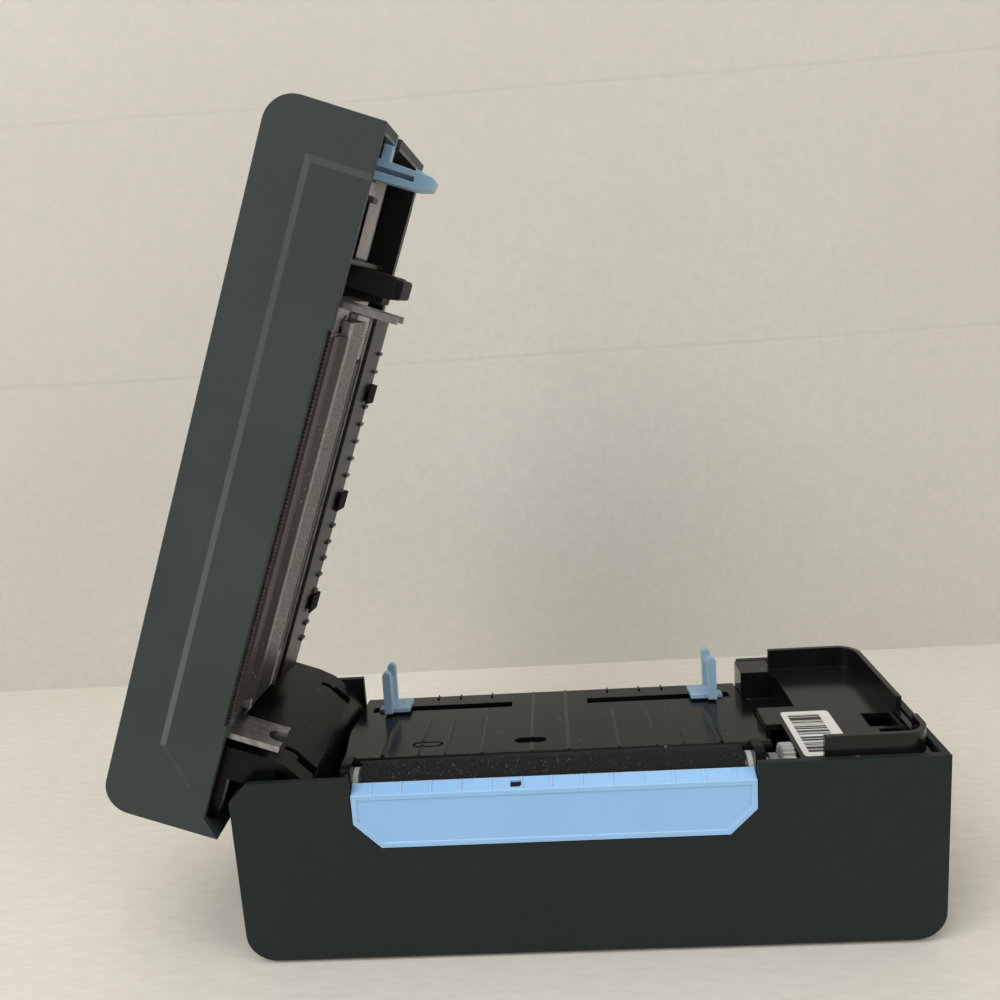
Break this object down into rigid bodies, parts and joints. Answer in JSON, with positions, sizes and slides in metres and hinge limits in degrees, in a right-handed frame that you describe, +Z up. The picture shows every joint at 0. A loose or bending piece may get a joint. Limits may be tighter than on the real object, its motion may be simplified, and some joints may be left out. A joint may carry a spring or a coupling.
{
  "type": "label printer",
  "caption": "Desktop label printer standing open: wide shallow base with roller, sloping label deck and sliding guides, lid with print head hinged at the left end",
  "frame": {"origin": "On the table, under the middle of the base's floor; the base's underside is 1.2 mm above it, the feet touch it", "axes": "+X along the body away from the lid's hinge, +Y from the exit side to the label inlet, +Z up"},
  "size_m": [0.2405, 0.0806, 0.2435],
  "materials": {
    "casing": "fine texture",
    "lid_casing": "fine texture",
    "deck_black": "gloss",
    "frame_black": "gloss",
    "guard_black": "gloss",
    "bezel_blue": "satin",
    "guide_blue": "satin",
    "latch_blue": "satin",
    "rack_black": "satin",
    "roller_rubber": "ground",
    "foot_rubber": "matt",
    "steel": "turned",
    "spring_steel": "drawn",
    "screw_steel": "plated",
    "bush_white": "satin",
    "ring_grey": "satin",
    "gear_white": "satin",
    "brass": "turned",
    "motor_metal": "zinc plated",
    "head_metal": "cast",
    "head_ceramic": "glazed",
    "strip_metal": "bright",
    "liner_grey": "matt",
    "cover_metal": "satin",
    "circuit_board": "lacquered",
    "connector_cream": "satin",
    "pin_metal": "tinned",
    "tear_steel": "blackened",
    "socket_metal": "tinned",
    "socket_black": "satin",
    "sensor_black": "gloss",
    "button_grey": "satin",
    "lens_clear": "clear"
  },
  "bodies": {
    "base": {"base_shell": "casing", "rubber_feet": "foot_rubber", "frame_screws": "screw_steel", "media_deck": "deck_black", "platen_bushes": "bush_white", "locating_stud": "steel", "drive_plate": "motor_metal", "plate_screws": "screw_steel", "idler_pin": "steel", "stepper_motor": "motor_metal", "motor_screws": "screw_steel", "side_deck": "deck_black", "deck_screw": "screw_steel", "exit_bezel": "bezel_blue", "exit_sensor": "sensor_black", "gap_sensor": "sensor_black", "main_board": "circuit_board", "board_screws": "screw_steel", "board_parts": "socket_black", "usb_socket": "socket_metal", "power_socket": "socket_black", "switch_body": "socket_black", "hinge_pins": "steel", "pinion_stud": "steel"},
    "platen": {"platen_shaft": "steel", "platen_rubber": "roller_rubber", "locating_ring": "ring_grey", "platen_gear": "gear_white"},
    "idler": {"reduction_gear": "gear_white"},
    "motor_rotor": {"motor_pinion": "brass"},
    "left_guide": {"label_guide_left": "guide_blue", "guide_rack_left": "rack_black"},
    "right_guide": {"label_guide_right": "guide_blue", "guide_rack_right": "rack_black"},
    "guide_wheel": {"guide_pinion": "rack_black"},
    "rocker": {"power_rocker": "socket_black"},
    "lid": {"lid_shell": "lid_casing", "lid_frame": "frame_black", "liner_strip": "liner_grey", "lid_screws": "screw_steel", "hold_down_pads": "frame_black", "tear_bar": "tear_steel", "locating_block": "frame_black", "hinge_guard": "guard_black", "head_screws": "screw_steel", "latch_pin": "steel", "latch_spring": "spring_steel", "control_board": "circuit_board", "feed_switch": "socket_black", "status_lens": "lens_clear"},
    "print_head": {"head_bracket": "head_metal", "head_ceramic": "head_ceramic", "head_strip": "strip_metal", "head_cover": "cover_metal", "head_board": "circuit_board", "head_connectors": "connector_cream", "connector_pins": "pin_metal", "head_springs": "spring_steel"},
    "latch": {"release_latch": "latch_blue"},
    "button": {"feed_button": "button_grey"}
  },
  "joints": [
    {"name": "lid_hinge", "type": "hinge", "parent": "base", "child": "lid", "pos_m": [-0.09626, 0, 0.0442], "axis": [0, 1, 0], "range_deg": [0, 69.3]},
    {"name": "platen_spin", "type": "hinge", "parent": "base", "child": "platen", "pos_m": [-0.0089, -0.0285, 0.052], "axis": [1, 0, 0], "continuous": true},
    {"name": "idler_spin", "type": "hinge", "parent": "base", "child": "idler", "pos_m": [0.063, -0.02344, 0.04324], "axis": [1, 0, 0], "continuous": true},
    {"name": "motor_spin", "type": "hinge", "parent": "base", "child": "motor_rotor", "pos_m": [0.064, -0.01416, 0.03396], "axis": [1, 0, 0], "continuous": true},
    {"name": "left_guide_slide", "type": "slide", "parent": "base", "child": "left_guide", "axis": [1, 0, 0], "range_m": [0, 0.038]},
    {"name": "right_guide_slide", "type": "slide", "parent": "base", "child": "right_guide", "axis": [1, 0, 0], "range_m": [-0.038, 0]},
    {"name": "guide_wheel_spin", "type": "hinge", "parent": "base", "child": "guide_wheel", "pos_m": [-0.0089, 0.0268, 0.05062], "axis": [0, 0.1031, 0.9947], "range_deg": [-436, 0]},
    {"name": "head_float", "type": "slide", "parent": "lid", "child": "print_head", "axis": [-0.9354, 0, 0.3535], "range_m": [0, 0.001], "stiffness_N_per_m": 3000, "springref_m": -0.0015},
    {"name": "latch_swing", "type": "hinge", "parent": "lid", "child": "latch", "pos_m": [-0.05166, -0.0119, 0.22956], "axis": [0, 1, 0], "range_deg": [0, 6], "stiffness_Nm_per_rad": 0.02},
    {"name": "feed_press", "type": "slide", "parent": "lid", "child": "button", "axis": [0.9354, 0, -0.3535], "range_m": [0, 0.0008], "stiffness_N_per_m": 400},
    {"name": "power_rock", "type": "hinge", "parent": "base", "child": "rocker", "pos_m": [0.0785, 0.0369, 0.026], "axis": [1, 0, 0], "range_deg": [-7, 7]}
  ],
  "couplings": [
    {"joint": "idler_spin", "follows": "platen_spin", "ratio": -1.5},
    {"joint": "motor_spin", "follows": "platen_spin", "ratio": 5},
    {"joint": "right_guide_slide", "follows": "left_guide_slide", "ratio": -1},
    {"joint": "guide_wheel_spin", "follows": "left_guide_slide", "rad_per_m": -200}
  ]
}
